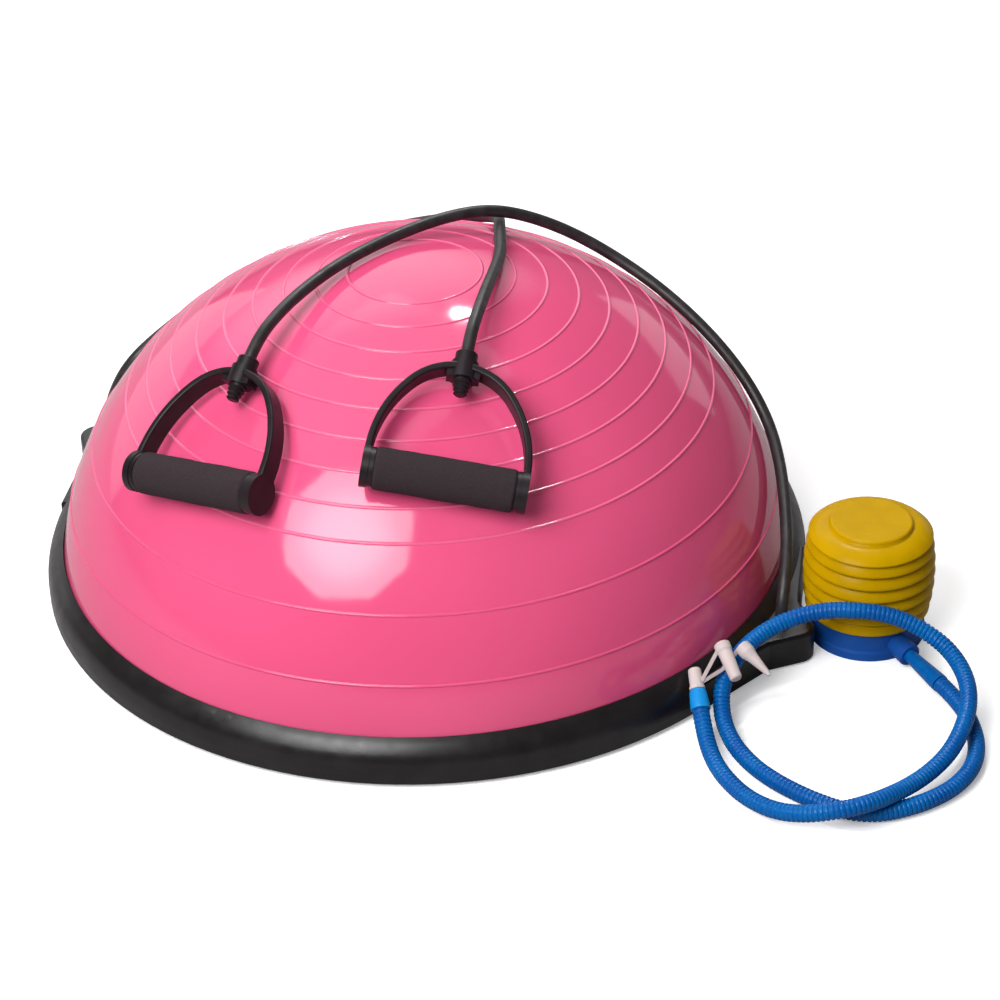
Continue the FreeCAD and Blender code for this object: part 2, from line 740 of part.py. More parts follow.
def add_tube_end(side, place):
    """The ferrule the tube enters, and the ribbed stopper that holds it inside the arch."""
    along = FreeCAD.Placement(place.Base, place.Rotation.multiply(ALONG_TUBE))
    head = SIZE["boss_end"]
    add_turned(f"handle_{side}_ferrule", [
        (0, SIZE["boss_start"]), (SIZE["ferrule_radius"], SIZE["boss_start"]),
        (SIZE["ferrule_radius"], head), (SIZE["ferrule_head_radius"], head),
        (SIZE["ferrule_head_radius"], SIZE["ferrule_end"] - 1),
        (SIZE["ferrule_head_radius"] - 1, SIZE["ferrule_end"]), (0, SIZE["ferrule_end"]),
    ], along)
    tip = SIZE["stopper_tip"]
    outline = [(0, tip), (3.6, tip)]
    for ridge in range(STOPPER_RIDGES):
        low = tip + 3.1 * ridge
        outline += [(4.9 + 0.7 * ridge, low + 1), (4.2 + 0.7 * ridge, low + 2.9)]
    outline += [(6.5, tip + 10), (6.5, SIZE["boss_start"]), (0, SIZE["boss_start"])]
    add_turned(f"handle_{side}_plug", outline, along)


# The free stretch of each resistance tube, from its lug over the dome to its handle.
TUBE_ROUTES = {
    "left": [(257, -138, 52), (261, -116, 64), (264, -88, 73), (266, -44, 88),
             (262, -3, 104), (246, 23, 130), (220, 46, 158), (187, 70, 183), (152, 90, 203),
             (118, 96, 223), (85, 88, 242), (58, 80, 252), (30, 68, 255), (0, 50, 255),
             (-30, 25, 255), (-58, -2, 253.5), (-81, -31, 251), (-98, -55, 247)],
    "right": [(-249, 145, 58), (-241, 138, 80), (-231, 135, 98),
              (-218, 139, 111), (-201, 151, 120), (-175, 172, 130.5), (-140, 193, 142),
              (-97, 206, 154),
              (-53, 213, 163), (-14, 209, 174), (22, 193, 187.5), (48, 170, 200),
              (62, 142, 214), (66, 112, 227.5), (65, 80, 238.5), (64, 47, 246.5),
              (63, 14, 250.5), (58, -16, 254), (51, -48, 257.5), (43.5, -80, 257.5)],
}


def lug_spot(side, height):
    """A point on the axis of the lug that anchors one handle's tube."""
    bearing = value_of("lug_bearing") + (0 if side == "left" else 180)
    return FreeCAD.Rotation(UP, bearing).multVec(Vector(value_of("anchor_circle"), 0, height))


def lift_relief(place):
    """The wedge cut from the tube's end so that the ferrule can tip up about it."""
    end = value_of("ferrule_end")
    high = value_of("tube_radius") + 1
    slope = math.tan(math.radians(value_of("lift_limit") + 1))
    half = high
    corners = [Vector(-half, end, 0), Vector(-half, end + high * slope, high),
               Vector(-half, end - 1, high), Vector(-half, end - 1, 0)]
    wedge = Part.Face(Part.makePolygon(corners + corners[:1])).extrude(Vector(2 * half, 0, 0))
    wedge.Placement = place
    return wedge


def add_handle(side):
    place = handle_place(side)
    add_handle_frame(side, place)
    add_grip(side, place)
    add_tube_end(side, place)
    ferrule_end = value_of("ferrule_end")
    route = [lug_spot(side, value_of("anchor_recess_top")), lug_spot(side, value_of("tube_rise"))]
    route += [Vector(*point) for point in TUBE_ROUTES[side]]
    route += [place.multVec(Vector(0, ferrule_end + value_of("tube_lead"), 0)),
              place.multVec(Vector(0, ferrule_end, 0))]
    add_cord(f"resistance_tube_{side}", route, value_of("tube_radius"), lift_relief(place))
    low = value_of("anchor_recess_top") - value_of("stopper_height")
    stopper = document.addObject("Part::Cylinder", f"tube_stopper_{side}")
    stopper.Label = f"tube_stopper_{side}"
    stopper.setExpression("Radius", SIZE["stopper_radius"].formula)
    stopper.setExpression("Height", SIZE["stopper_height"].formula)
    stopper.Placement.Base = lug_spot(side, low)


# ---------------------------------------------------------------- foot pump

PUMP = FreeCAD.Placement(Vector(value_of("pump_x"), value_of("pump_y"), 0), FreeCAD.Rotation())
OUTLET = FreeCAD.Rotation(UP, value_of("outlet_bearing"))


def outlet_place():
    """The outlet's frame: its Z axis leaves the pump level with the floor."""
    middle = PUMP.Base + Vector(0, 0, value_of("outlet_height"))
    return FreeCAD.Placement(middle, OUTLET.multiply(FreeCAD.Rotation(Vector(0, 1, 0), 90)))


def add_pump_base():
    """The cup that the bellows stand on, with its air inlet and the cage over the inlet flap."""
    place = FreeCAD.Placement(PUMP.Base, OUTLET)
    body = new_body("pump_base", place)
    radius = SIZE["pump_radius"]
    floor = SIZE["pump_floor"]
    wall = SIZE["pump_wall"]
    top = SIZE["pump_base_height"]
    cage = SIZE["flap_radius"] + 1
    revolve(body, [
        (0, floor), (radius - 8, floor), (radius - 8, 0), (radius, 0), (radius, 6),
        (radius - 1, 8), (radius - 1, top), (radius - 1 - wall, top), (radius - 1 - wall, floor * 2),
        (cage + 2, floor * 2), (cage + 2, floor * 2 + 4), (cage, floor * 2 + 4),
        (cage, floor * 2), (0, floor * 2),
    ])
    bar = pad(body, "cage_bar", "XY_Plane", 1.4, [rectangle(-cage - 1, -2, cage + 1, 2)],
              offset=raised(floor.value * 2 + 2.6))
    body.Tip = bar
    pocket(body, "air_inlet", "XY_Plane", floor * 2, circles=[(0, 0, SIZE["inlet_radius"])])
    pocket(body, "outlet_hole", "YZ_Plane", 20,
           circles=[(0, SIZE["outlet_height"], SIZE["outlet_radius"] + 0.02)],
           offset=raised(30))
    pocket(body, "air_channel", "XY_Plane", floor,
           [rectangle(-radius - 1, -4, -radius + 12, 4)])


def add_pump_body():
    """The bellows, the cap that the foot presses, and the return spring."""
    top = SIZE["pump_base_height"]
    pitch = SIZE["bellows_pitch"]
    count = int(value_of("bellows_count"))
    reach = SIZE["bellows_radius"]
    bulge = SIZE["bellows_depth"] / 2 + pitch * pitch / 8 / SIZE["bellows_depth"]
    wall = SIZE["bellows_wall"]

    def valley(step):
        off_middle = 2 * step / count - 1
        return reach - SIZE["bellows_depth"] - SIZE["bellows_taper"] * off_middle ** 2

    outline = [(valley(step), top + pitch * step, bulge) for step in range(count)]
    outline += [(valley(count), top + pitch * count)]
    outline += [(valley(step) - wall, top + pitch * step, -bulge) for step in range(count, 0, -1)]
    outline += [(valley(0) - wall, top)]
    add_turned("pump_bellows", outline, PUMP)
    crown = top + pitch * count
    rim = SIZE["pump_cap_radius"]
    edge = SIZE["pump_cap_edge"]
    disc = SIZE["pump_cap_disc_radius"]
    seat = SIZE["spring_radius"] + SIZE["spring_wire"] + 0.6
    add_turned("pump_cap", [
        (0, crown + 1), (seat, crown + 1), (seat, crown), (rim, crown),
        (rim, crown + 1, SIZE["pump_cap_round"]), (disc + 1, crown + edge),
        (disc, crown + edge + SIZE["pump_cap_disc_height"] - 2, 2),
        (disc - 2, crown + edge + SIZE["pump_cap_disc_height"]),
        (0, crown + edge + SIZE["pump_cap_disc_height"]),
    ], PUMP)
    wire = value_of("spring_wire")
    low = value_of("pump_floor") * 2 + wire
    high = crown.value + 1 - wire
    turns = value_of("spring_turns")
    coil_radius = value_of("spring_radius")
    helix = Part.makeHelix((high - low) / turns, high - low, coil_radius)
    profile = Part.Wire(Part.Circle(Vector(coil_radius, 0, 0), Vector(0, 1, 0), wire).toShape())
    coil = Part.Wire(helix).makePipeShell([profile], True, True)
    if coil.Volume < 0:
        coil = coil.reversed()
    spring = add_shape("pump_spring", coil)
    spring.Placement = FreeCAD.Placement(PUMP.Base + Vector(0, 0, low), FreeCAD.Rotation())


def add_pump_valves():
    """The two flaps that let air in under the cap and out to the hose, and the outlet stub."""
    thickness = SIZE["flap_thickness"]
    floor_top = SIZE["pump_floor"] * 2
    inlet = disc_outline(SIZE["flap_radius"], floor_top + 0.02, floor_top + 0.02 + thickness)
    add_turned("inlet_flap", inlet, PUMP)
    place = outlet_place()
    start = SIZE["outlet_start"]
    end = SIZE["outlet_end"]
    bore = SIZE["outlet_bore"]
    outer = SIZE["outlet_radius"]
    add_turned("outlet_stub", [
        (3.5, start), (outer, start), (outer, end - 1), (outer - 1, end), (3.5, end),
        (3.5, start + 8), (bore, start + 6), (bore, start + 2), (3.5, start + 2),
    ], place)
    seat = start + 2.02
    add_turned("outlet_flap", disc_outline(bore - 0.6, seat, seat + thickness), place)
    add_turned("hose_cuff", [
        (0, end), (5, end), (5, end + 3), (SIZE["hose_radius"] + 0.4, SIZE["cuff_end"] - 4),
        (SIZE["hose_radius"] + 0.4, SIZE["cuff_end"]), (0, SIZE["cuff_end"]),
    ], place)


# The hose leaves the pump, makes a loop on the floor, climbs the rim, passes between the
# lug and the pump, and makes a second, wider loop back to the rim.
HOSE_ROUTE = [
    (373.5, -258, 8.5), (373.5, -281, 6.6), (366, -304, 6.4), (351, -323, 6.4),
    (332, -336, 6.4), (312, -344, 6.4), (294, -348, 6.4), (275, -345, 6.4), (257, -334, 6.4),
    (242, -321.5, 6.4), (228, -307, 6.4), (216, -290, 6.4), (207, -270, 6.6), (202, -250, 8.2),
    (200.5, -233, 14.5), (203, -220, 25), (210.5, -208, 32), (221.5, -193.5, 36.5), (236, -181.5, 40),
    (252, -174.5, 44), (269, -173.5, 49), (286, -177.5, 54), (303, -182.5, 56), (320, -184.5, 54),
    (336, -187, 49), (351, -193, 42), (363.5, -203.5, 36), (371, -219, 31), (373.5, -238, 27.5),
    (370.5, -259, 24.5), (362, -281, 22), (350, -300, 17), (334, -315.5, 13.5), (317, -330, 14),
    (299, -346, 19), (280, -357.5, 22), (260, -360.5, 20.5), (241.5, -355, 15), (224, -343.5, 9.5),
    (208, -325, 6.6), (197.5, -306, 6.4), (191.5, -289, 6.4), (188, -272, 8.2), (186, -257, 13.5),
]
HOSE_END = (185, -244, 21.5)


def add_hose():
    """The hose from its cuff on the pump to the light cuff that carries the nozzles."""
    place = outlet_place()
    start = place.multVec(Vector(0, 0, value_of("cuff_end")))
    lead = place.multVec(Vector(0, 0, value_of("cuff_end") + value_of("hose_lead")))
    route = [start, lead] + [Vector(*point) for point in HOSE_ROUTE] + [Vector(*HOSE_END)]
    add_cord("pump_hose", route, value_of("hose_radius"))


def pointed(base, way):
    """A frame at a point whose Z axis runs a given way."""
    return FreeCAD.Placement(Vector(*base), FreeCAD.Rotation(UP, Vector(*way)))


PEG_TOP = (203, -207, 50.5)
PEG_WAY = (8.5, -27, -13)
CONE_TOP = (217, -208, 48.5)
CONE_WAY = (17, -20.5, -10.5)


def add_nozzles():
    """The end cuff and nozzle of the hose, and two spare nozzles on a thin strap."""
    way = Vector(*HOSE_END) - Vector(*HOSE_ROUTE[-1])
    place = pointed(HOSE_END, way)
    cuff = SIZE["hose_end_cuff_length"]
    hose = SIZE["hose_radius"]
    add_turned("hose_end_cuff", [
        (0, 0), (hose + 0.9, 0), (hose + 0.9, 3), (hose, cuff - 2), (hose - 1, cuff), (0, cuff),
    ], place)
    length = SIZE["nozzle_length"]
    add_turned("end_nozzle", [
        (0, cuff), (5.6, cuff), (5.6, cuff + 2), (5, cuff + 3), (4.7, cuff + length - 1.5, 2),
        (3.2, cuff + length), (0, cuff + length),
    ], place)
    add_turned("peg_nozzle", [
        (0, 0), (4.9, 0), (5.9, 1), (5.9, 6), (5.2, 7.5), (4.4, 28, 2), (2.9, 30), (0, 30),
    ], pointed(PEG_TOP, PEG_WAY))
    add_turned("cone_nozzle", [
        (0, 0), (4.8, 0), (5.8, 1), (5.8, 7), (4.2, 12), (1.9, 28), (1.2, 30), (0, 30),
    ], pointed(CONE_TOP, CONE_WAY))


def add_strap():
    """The thin moulded straps that keep the two spare nozzles with the hose."""
    width = value_of("strap_width")
    thickness = value_of("strap_thickness")
    way = Vector(*HOSE_END) - Vector(*HOSE_ROUTE[-1])
    way.normalize()
    ring_middle = Vector(*HOSE_END) + way * (value_of("hose_end_cuff_length") + 1)
    peg_sites = [ring_middle + Vector(3, 2, 4.5), Vector(*PEG_TOP)]
    cone_sites = [ring_middle + Vector(3, 2, 3.5), Vector(203, -218.5, 36.5), Vector(*CONE_TOP)]
    pieces = []
    for sites in (peg_sites, cone_sites):
        for start, end in zip(sites, sites[1:]):
            run = end - start
            piece = Part.makeBox(width, thickness, run.Length, Vector(-width / 2, -thickness / 2, 0))
            piece.Placement = FreeCAD.Placement(start, FreeCAD.Rotation(UP, run))
            pieces.append(piece)
    strap = pieces[0].multiFuse(pieces[1:]).removeSplitter()
    for name in ("end_nozzle", "peg_nozzle", "cone_nozzle", "hose_end_cuff"):
        strap = strap.cut(document.getObject(name).Shape)
    add_shape("nozzle_strap", max(strap.Solids, key=lambda solid: solid.Volume))


# ---------------------------------------------------------------- the whole object

add_base_platform()
add_rim_ring()
add_clamp_screws()
add_feet()
add_dome_bladder()
add_valve()
for side in SIDES:
    add_handle(side)
add_pump_base()
add_pump_body()
add_pump_valves()
add_hose()
add_nozzles()
document.recompute()
add_strap()
document.recompute()

HANDLE_PARTS = ("frame", "core", "foam", "end_caps", "ferrule", "plug")
NODES = ["base_platform", "rim_ring", "clamp_screws", "rubber_feet", "centre_foot", "dome_bladder",
         "valve_grommet", "valve_plug"]
for side in SIDES:
    NODES += [f"tube_stopper_{side}", f"resistance_tube_{side}"]
    NODES += [f"handle_{side}_{name}" for name in HANDLE_PARTS]
NODES += ["pump_base", "pump_bellows", "pump_cap", "pump_spring", "inlet_flap", "outlet_flap",
          "outlet_stub", "hose_cuff", "pump_hose", "hose_end_cuff", "end_nozzle", "nozzle_strap",
          "peg_nozzle", "cone_nozzle"]

for item in document.Objects:
    if "Invalid" in item.State or "Error" in item.State:
        raise RuntimeError(f"{item.Label} failed: {item.State}")

os.makedirs("parts", exist_ok=True)
for node in NODES:
    shape = document.getObjectsByLabel(node)[0].Shape
    if shape.isNull() or not shape.isValid():
        raise RuntimeError(f"{node} has no valid shape")
    shape.exportStep(f"parts/{node}.step")
print(f"{len(NODES)} parts written")
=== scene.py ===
import json
import math
import bpy
from mathutils import Matrix, Quaternion, Vector, noise


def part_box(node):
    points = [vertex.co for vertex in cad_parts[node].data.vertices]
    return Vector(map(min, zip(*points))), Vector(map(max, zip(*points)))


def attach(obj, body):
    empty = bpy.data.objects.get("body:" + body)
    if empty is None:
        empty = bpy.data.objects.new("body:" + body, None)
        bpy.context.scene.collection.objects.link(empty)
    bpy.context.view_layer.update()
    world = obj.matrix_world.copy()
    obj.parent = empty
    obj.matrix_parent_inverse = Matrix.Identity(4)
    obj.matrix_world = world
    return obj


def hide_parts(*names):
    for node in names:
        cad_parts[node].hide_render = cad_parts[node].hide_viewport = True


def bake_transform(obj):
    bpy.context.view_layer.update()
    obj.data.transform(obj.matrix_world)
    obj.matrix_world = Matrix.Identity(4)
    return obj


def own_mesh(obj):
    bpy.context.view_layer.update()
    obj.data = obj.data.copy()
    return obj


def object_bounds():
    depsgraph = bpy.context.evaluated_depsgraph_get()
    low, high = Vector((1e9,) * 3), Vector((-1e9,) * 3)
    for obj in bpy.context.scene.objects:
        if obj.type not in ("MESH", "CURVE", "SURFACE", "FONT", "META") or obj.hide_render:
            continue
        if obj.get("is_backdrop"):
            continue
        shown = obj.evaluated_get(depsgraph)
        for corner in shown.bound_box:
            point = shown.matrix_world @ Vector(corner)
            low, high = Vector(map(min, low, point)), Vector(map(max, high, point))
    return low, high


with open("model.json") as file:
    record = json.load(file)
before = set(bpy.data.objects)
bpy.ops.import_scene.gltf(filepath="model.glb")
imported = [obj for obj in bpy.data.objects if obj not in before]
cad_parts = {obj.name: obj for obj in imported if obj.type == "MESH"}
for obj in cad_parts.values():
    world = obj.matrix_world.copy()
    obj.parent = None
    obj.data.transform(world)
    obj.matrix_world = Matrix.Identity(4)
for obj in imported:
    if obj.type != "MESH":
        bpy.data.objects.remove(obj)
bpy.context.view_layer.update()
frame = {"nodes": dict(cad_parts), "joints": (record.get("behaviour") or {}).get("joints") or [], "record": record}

MM = 0.001
UP = Vector((0, 0, 1))
JOINTS = {joint["name"]: joint for joint in frame["joints"]}
SIDES = ("left", "right")


# ---------------------------------------------------------------- camera

# The camera stands at this distance and elevation from the middle of the trainer's foot. Pitch, yaw
# and roll say how far it is turned from looking straight at that point.
CAMERA_DISTANCE = 2.184
CAMERA_ELEVATION = math.radians(34.11)
CAMERA_PITCH = math.radians(-0.99)
CAMERA_YAW = math.radians(-1.80)
CAMERA_ROLL = math.radians(-1.67)
# In millimetres.
CAMERA_LENS, CAMERA_SENSOR = 101.7, 36


def make_camera():
    """The camera stands in front of the trainer, looks down at it and leans a little."""
    data = bpy.data.cameras.new("camera")
    data.sensor_width = CAMERA_SENSOR
    data.lens = CAMERA_LENS
    camera = new_object("camera", data)
    bpy.context.scene.camera = camera
    tilt = CAMERA_ELEVATION + CAMERA_PITCH
    forward = Quaternion(UP, CAMERA_YAW) @ Vector((0, math.cos(tilt), -math.sin(tilt)))
    right = forward.cross(UP).normalized()
    upward = right.cross(forward)
    turned_right = right * math.cos(CAMERA_ROLL) + upward * math.sin(CAMERA_ROLL)
    turned_up = upward * math.cos(CAMERA_ROLL) - right * math.sin(CAMERA_ROLL)
    setback = CAMERA_DISTANCE * math.cos(CAMERA_ELEVATION)
    height = CAMERA_DISTANCE * math.sin(CAMERA_ELEVATION)
    camera.matrix_world = Matrix((
        (turned_right.x, turned_up.x, -forward.x, 0),
        (turned_right.y, turned_up.y, -forward.y, -setback),
        (turned_right.z, turned_up.z, -forward.z, height),
        (0, 0, 0, 1),
    ))


# ---------------------------------------------------------------- mesh helpers

# A point of an outline that is nearer to the axis than this lies on it.
ON_AXIS = 1e-6
SPLINE_DETAIL = 12


def new_object(name, data):
    piece = bpy.data.objects.new(name, data)
    bpy.context.scene.collection.objects.link(piece)
    return piece


def mesh_piece(name, vertices, faces, material, crease=35):
    """A smooth-shaded mesh whose edges stay sharp where they turn by more than the crease."""
    mesh = bpy.data.meshes.new(name)
    mesh.from_pydata([tuple(vertex) for vertex in vertices], [], faces)
    mesh.validate()
    mesh.shade_smooth()
    mesh.set_sharp_from_angle(angle=math.radians(crease))
    mesh.materials.append(material)
    return new_object(name, mesh)


def arc(centre, radius, first, last, steps):
    """Points of an arc in the (radius, height) plane, from one angle to another in degrees."""
    points = []
    for step in range(steps + 1):
        angle = math.radians(first + (last - first) * step / steps)
        points.append((centre[0] + radius * math.cos(angle), centre[1] + radius * math.sin(angle)))
    return points


def lathe(name, outline, material, place=None, segments=128, closed=False, crease=35):
    """Turn an outline of (radius, height) points about Z, then put it in place."""
    place = place or Matrix.Identity(4)
    vertices = []
    rings = []
    for radius, height in outline:
        if radius < ON_AXIS:
            rings.append([len(vertices)] * segments)
            vertices.append(place @ Vector((0, 0, height)))
            continue
        rings.append(list(range(len(vertices), len(vertices) + segments)))
        for index in range(segments):
            angle = 2 * math.pi * index / segments
            point = Vector((radius * math.cos(angle), radius * math.sin(angle), height))
            vertices.append(place @ point)
    faces = []
    pairs = list(zip(rings, rings[1:]))
    if closed:
        pairs.append((rings[-1], rings[0]))
    for low, high in pairs:
        for index in range(segments):
            following = (index + 1) % segments
            face = [low[index], low[following], high[following], high[index]]
            face = list(dict.fromkeys(face))
            if len(face) > 2:
                faces.append(face)
    return mesh_piece(name, vertices, faces, material, crease)


def spline_line(name, route):
    """Points of the smooth NURBS line whose control points are the route."""
    curve = bpy.data.curves.new(name + "_line", "CURVE")
    curve.dimensions = "3D"
    curve.resolution_u = SPLINE_DETAIL
    spline = curve.splines.new("NURBS")
    spline.points.add(len(route) - 1)
    for point, place in zip(spline.points, route):
        point.co = (*place, 1)
    spline.order_u = 3
    spline.use_endpoint_u = True
    holder = new_object(name + "_line", curve)
    bpy.context.view_layer.update()
    mesh = bpy.data.meshes.new_from_object(holder)
    points = [vertex.co.copy() for vertex in mesh.vertices]
    bpy.data.objects.remove(holder)
    bpy.data.curves.remove(curve)
    bpy.data.meshes.remove(mesh)
    return points


def evenly(points, spacing):
    """The same line with evenly spaced points, about the spacing apart, both ends kept."""
    lengths = [0.0]
    for before, after in zip(points, points[1:]):
        lengths.append(lengths[-1] + (after - before).length)
    count = max(2, round(lengths[-1] / spacing))
    spread = []
    index = 0
    for step in range(count + 1):
        wanted = lengths[-1] * step / count
        while index < len(points) - 2 and lengths[index + 1] < wanted:
            index += 1
        run = lengths[index + 1] - lengths[index]
        share = (wanted - lengths[index]) / run if run else 0
        spread.append(points[index].lerp(points[index + 1], min(1, max(0, share))))
    return spread


def line_length(points):
    return sum((after - before).length for before, after in zip(points, points[1:]))


def sweep(name, points, radius_at, material, sides=24, crease=50):
    """A round tube along a line; radius_at gives its radius at a distance along the line."""
    tangents = []
    for index in range(len(points)):
        before = points[max(index - 1, 0)]
        after = points[min(index + 1, len(points) - 1)]
        tangents.append((after - before).normalized())
    across = tangents[0].orthogonal().normalized()
    vertices = []
    faces = []
    travelled = 0.0
    for index, (point, tangent) in enumerate(zip(points, tangents)):
        across = (across - tangent * across.dot(tangent)).normalized()
        other = tangent.cross(across)
        if index:
            travelled += (point - points[index - 1]).length
        radius = radius_at(travelled)
        for side in range(sides):
            angle = 2 * math.pi * side / sides
            vertices.append(point + (across * math.cos(angle) + other * math.sin(angle)) * radius)
        if index:
            low = (index - 1) * sides
            high = index * sides
            for side in range(sides):
                following = (side + 1) % sides
                faces.append([low + side, low + following, high + following, high + side])
    faces.append(list(range(sides))[::-1])
    faces.append(list(range(len(vertices) - sides, len(vertices))))
    return mesh_piece(name, vertices, faces, material, crease)


def stand(base, way):
    """A placement at a point whose Z axis runs a given way."""
    turn = Vector(way).to_track_quat("Z", "Y").to_matrix().to_4x4()
    return Matrix.Translation(Vector(base)) @ turn


def node_centre(node):
    low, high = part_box(node)
    return (Vector(low) + Vector(high)) / 2


# ---------------------------------------------------------------- materials

# The part of a noise's range over which a colour, and a roughness, goes from first to second.
COLOUR_RANGE = (0.35, 0.65)
GLOSS_RANGE = (0.3, 0.7)


class Recipe:
    """A Principled material whose colour, gloss and relief vary by procedural noise.

    Noise scales are in waves per metre, and fixed values are named as the shader's sockets are.
    """

    def __init__(self, name, **fixed):
        self.material = bpy.data.materials.new(name)
        self.material.use_nodes = True
        self.nodes = self.material.node_tree.nodes
        self.links = self.material.node_tree.links
        self.shader = self.nodes["Principled BSDF"]
        for socket, value in fixed.items():
            self.shader.inputs[socket.replace("_", " ")].default_value = value
        self.place = self.nodes.new("ShaderNodeTexCoord").outputs["Object"]
        self.normal = None

    def noise(self, scale, detail):
        texture = self.nodes.new("ShaderNodeTexNoise")
        texture.inputs["Scale"].default_value = scale
        texture.inputs["Detail"].default_value = detail
        self.links.new(self.place, texture.inputs["Vector"])
        return texture.outputs["Fac"]

    def cells(self, scale):
        texture = self.nodes.new("ShaderNodeTexVoronoi")
        texture.inputs["Scale"].default_value = scale
        self.links.new(self.place, texture.inputs["Vector"])
        return texture.outputs["Distance"]

    def spread(self, factor, low, high, low_to, high_to):
        span = self.nodes.new("ShaderNodeMapRange")
        for socket, value in zip(("From Min", "From Max", "To Min", "To Max"),
                                 (low, high, low_to, high_to)):
            span.inputs[socket].default_value = value
        self.links.new(factor, span.inputs["Value"])
        return span.outputs["Result"]

    def colour(self, factor, first, second):
        ramp = self.nodes.new("ShaderNodeValToRGB")
        for stop, position, tint in zip(ramp.color_ramp.elements, COLOUR_RANGE, (first, second)):
            stop.position = position
            stop.color = (*tint, 1)
        self.links.new(factor, ramp.inputs["Fac"])
        self.links.new(ramp.outputs["Color"], self.shader.inputs["Base Color"])

    def gloss(self, factor, low, high):
        """The roughness varies from low to high."""
        self.links.new(self.spread(factor, *GLOSS_RANGE, low, high), self.shader.inputs["Roughness"])

    def relief(self, factor, depth, strength):
        """Bump on top of any relief that is there already."""
        bump = self.nodes.new("ShaderNodeBump")
        bump.inputs["Distance"].default_value = depth
        bump.inputs["Strength"].default_value = strength
        self.links.new(factor, bump.inputs["Height"])
        if self.normal:
            self.links.new(self.normal, bump.inputs["Normal"])
        self.normal = bump.outputs["Normal"]
        self.links.new(self.normal, self.shader.inputs["Normal"])


def vinyl(name, first, second):
    """Glossy inflated PVC with a faint unevenness, which lets a little light into its surface."""
    made = Recipe(name, Specular_IOR_Level=0.45, Subsurface_Weight=0.08, Subsurface_Scale=10 * MM,
                  Subsurface_Radius=(1.0, 0.35, 0.4))
    made.colour(made.noise(scale=6, detail=2), first, second)
    made.gloss(made.noise(scale=35, detail=4), 0.07, 0.11)
    made.relief(made.noise(scale=60, detail=2), depth=0.4 * MM, strength=0.12)
    return made.material


def satin_black(name, first, second, grain=1400, depth=0.06 * MM, shine=0.24, rough=(0.34, 0.46)):
    """Moulded black plastic with a fine spark-eroded grain."""
    made = Recipe(name, Specular_IOR_Level=shine)
    made.colour(made.noise(scale=40, detail=4), first, second)
    made.gloss(made.noise(scale=90, detail=3), *rough)
    made.relief(made.noise(scale=grain, detail=2), depth, strength=0.6)
    return made.material


def rubber_tube():
    """Dark latex tube: a dusty bloom over black, with fine drag marks."""
    made = Recipe("tube_rubber", Specular_IOR_Level=0.45)
    made.colour(made.noise(scale=120, detail=5), (0.012, 0.010, 0.011), (0.026, 0.022, 0.024))
    made.gloss(made.noise(scale=200, detail=3), 0.36, 0.5)
    made.relief(made.noise(scale=900, detail=2), depth=0.05 * MM, strength=0.5)
    return made.material


def foam():
    """Closed-cell foam: matt, with open cells cut at the surface."""
    made = Recipe("grip_foam", Roughness=0.95, Specular_IOR_Level=0.2)
    made.colour(made.noise(scale=1100, detail=3), (0.024, 0.016, 0.019), (0.032, 0.022, 0.026))
    made.relief(made.cells(scale=900), depth=0.25 * MM, strength=0.8)
    made.relief(made.noise(scale=1500, detail=3), depth=0.12 * MM, strength=0.6)
    return made.material


def plastic(name, first, second, rough, soft=0.0, cloud=50, shine=0.16):
    """Coloured moulded plastic with slight flow variation; soft is how much light it lets in."""
    made = Recipe(name, Subsurface_Weight=soft, Subsurface_Scale=6 * MM, Specular_IOR_Level=shine)
    made.colour(made.noise(scale=cloud, detail=3), first, second)
    made.gloss(made.noise(scale=150, detail=3), *rough)
    made.relief(made.noise(scale=1100, detail=2), depth=0.04 * MM, strength=0.5)
    return made.material


def steel(name, first, second):
    made = Recipe(name, Metallic=1.0)
    made.colour(made.noise(scale=300, detail=4), first, second)
    made.gloss(made.noise(scale=500, detail=3), 0.25, 0.4)
    made.relief(made.noise(scale=2000, detail=2), depth=0.03 * MM, strength=0.4)
    return made.material


